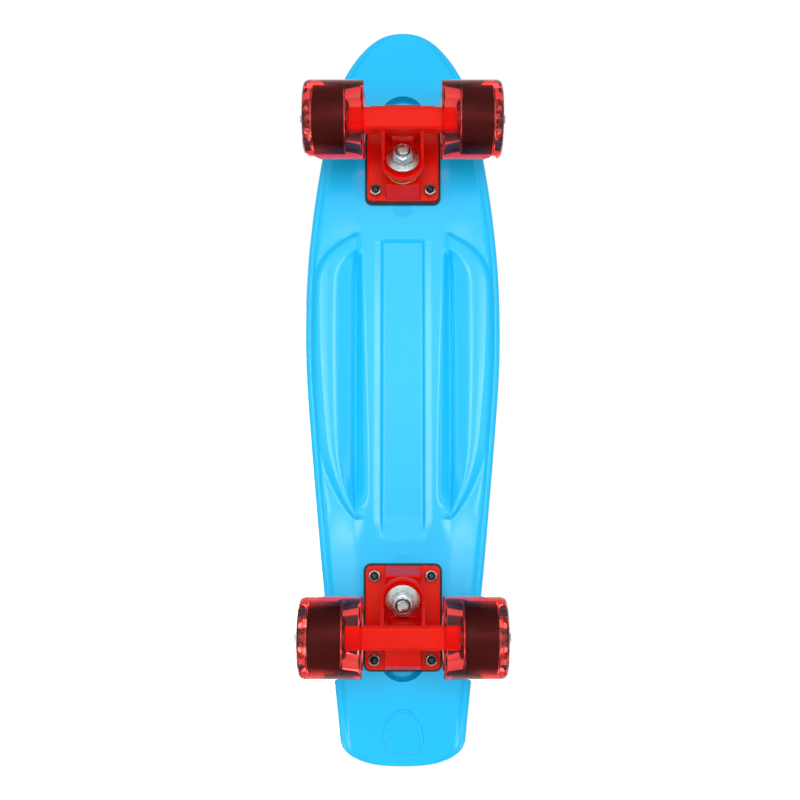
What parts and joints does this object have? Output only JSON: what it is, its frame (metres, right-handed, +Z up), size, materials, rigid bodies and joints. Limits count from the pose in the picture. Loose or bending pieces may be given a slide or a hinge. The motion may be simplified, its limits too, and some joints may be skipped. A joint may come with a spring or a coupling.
{
  "type": "skateboard",
  "caption": "Small cruiser skateboard with a moulded ribbed plastic deck, upturned ends, steering cast trucks and soft cored wheels.",
  "frame": {"origin": "on the ground, under the middle of the deck's length and width, with the board standing on its wheels", "axes": "+X to the right seen from the tail, +Y along the board to the pointed nose, +Z up from the wheels to the deck's top face"},
  "size_m": [0.152, 0.573, 0.1101],
  "materials": {
    "deck_plastic": "gloss moulded plastic",
    "truck_paint": "gloss paint on cast aluminium",
    "riser_rubber": "matte",
    "bushing_urethane": "satin cast urethane",
    "wheel_urethane": "gloss clear-tinted cast urethane",
    "core_plastic": "satin",
    "bearing_steel": "polished rings with a satin shield",
    "steel": "bright plated",
    "zinc": "yellow zinc plated",
    "cup_plastic": "matte"
  },
  "bodies": {
    "board": {"deck": "deck_plastic", "front_riser_pad": "riser_rubber", "front_baseplate": "truck_paint", "front_pivot_cup": "cup_plastic", "front_kingpin": "steel", "front_kingpin_nut": "steel", "front_road_washer": "steel", "front_road_bushing": "bushing_urethane", "front_board_bushing": "bushing_urethane", "front_board_washer": "zinc", "front_bolt_inner_left": "steel", "front_bolt_inner_right": "steel", "front_bolt_outer_left": "steel", "front_bolt_outer_right": "steel", "front_nut_inner_left": "steel", "front_nut_inner_right": "steel", "front_nut_outer_left": "steel", "front_nut_outer_right": "steel", "rear_riser_pad": "riser_rubber", "rear_baseplate": "truck_paint", "rear_pivot_cup": "cup_plastic", "rear_kingpin": "steel", "rear_kingpin_nut": "steel", "rear_road_washer": "steel", "rear_road_bushing": "bushing_urethane", "rear_board_bushing": "bushing_urethane", "rear_board_washer": "zinc", "rear_bolt_inner_left": "steel", "rear_bolt_inner_right": "steel", "rear_bolt_outer_left": "steel", "rear_bolt_outer_right": "steel", "rear_nut_inner_left": "steel", "rear_nut_inner_right": "steel", "rear_nut_outer_left": "steel", "rear_nut_outer_right": "steel"},
    "front_truck": {"front_hanger": "truck_paint", "front_axle": "steel", "front_axle_nut_left": "steel", "front_axle_nut_right": "steel"},
    "front_wheel_left": {"front_wheel_left_tyre": "wheel_urethane", "front_wheel_left_core": "core_plastic", "front_wheel_left_bearing_inner": "bearing_steel", "front_wheel_left_bearing_outer": "bearing_steel"},
    "front_wheel_right": {"front_wheel_right_tyre": "wheel_urethane", "front_wheel_right_core": "core_plastic", "front_wheel_right_bearing_inner": "bearing_steel", "front_wheel_right_bearing_outer": "bearing_steel"},
    "rear_truck": {"rear_hanger": "truck_paint", "rear_axle": "steel", "rear_axle_nut_left": "steel", "rear_axle_nut_right": "steel"},
    "rear_wheel_left": {"rear_wheel_left_tyre": "wheel_urethane", "rear_wheel_left_core": "core_plastic", "rear_wheel_left_bearing_inner": "bearing_steel", "rear_wheel_left_bearing_outer": "bearing_steel"},
    "rear_wheel_right": {"rear_wheel_right_tyre": "wheel_urethane", "rear_wheel_right_core": "core_plastic", "rear_wheel_right_bearing_inner": "bearing_steel", "rear_wheel_right_bearing_outer": "bearing_steel"}
  },
  "joints": [
    {"name": "front_steer", "type": "hinge", "parent": "board", "child": "front_truck", "pos_m": [0, 0.16571, 0.0499], "axis": [0, 0.9397, 0.342], "range_deg": [-12, 12], "stiffness_Nm_per_rad": 60, "deforming": ["front_road_bushing", "front_board_bushing"]},
    {"name": "front_wheel_left_spin", "type": "hinge", "parent": "front_truck", "child": "front_wheel_left", "pos_m": [-0.0509, 0.1928, 0.02882], "axis": [1, 0, 0], "continuous": true},
    {"name": "front_wheel_right_spin", "type": "hinge", "parent": "front_truck", "child": "front_wheel_right", "pos_m": [0.0509, 0.1928, 0.02882], "axis": [1, 0, 0], "continuous": true},
    {"name": "rear_steer", "type": "hinge", "parent": "board", "child": "rear_truck", "pos_m": [0, -0.15871, 0.0499], "axis": [0, -0.9397, 0.342], "range_deg": [-12, 12], "stiffness_Nm_per_rad": 60, "deforming": ["rear_road_bushing", "rear_board_bushing"]},
    {"name": "rear_wheel_left_spin", "type": "hinge", "parent": "rear_truck", "child": "rear_wheel_left", "pos_m": [-0.0509, -0.1858, 0.02882], "axis": [1, 0, 0], "continuous": true},
    {"name": "rear_wheel_right_spin", "type": "hinge", "parent": "rear_truck", "child": "rear_wheel_right", "pos_m": [0.0509, -0.1858, 0.02882], "axis": [1, 0, 0], "continuous": true}
  ]
}
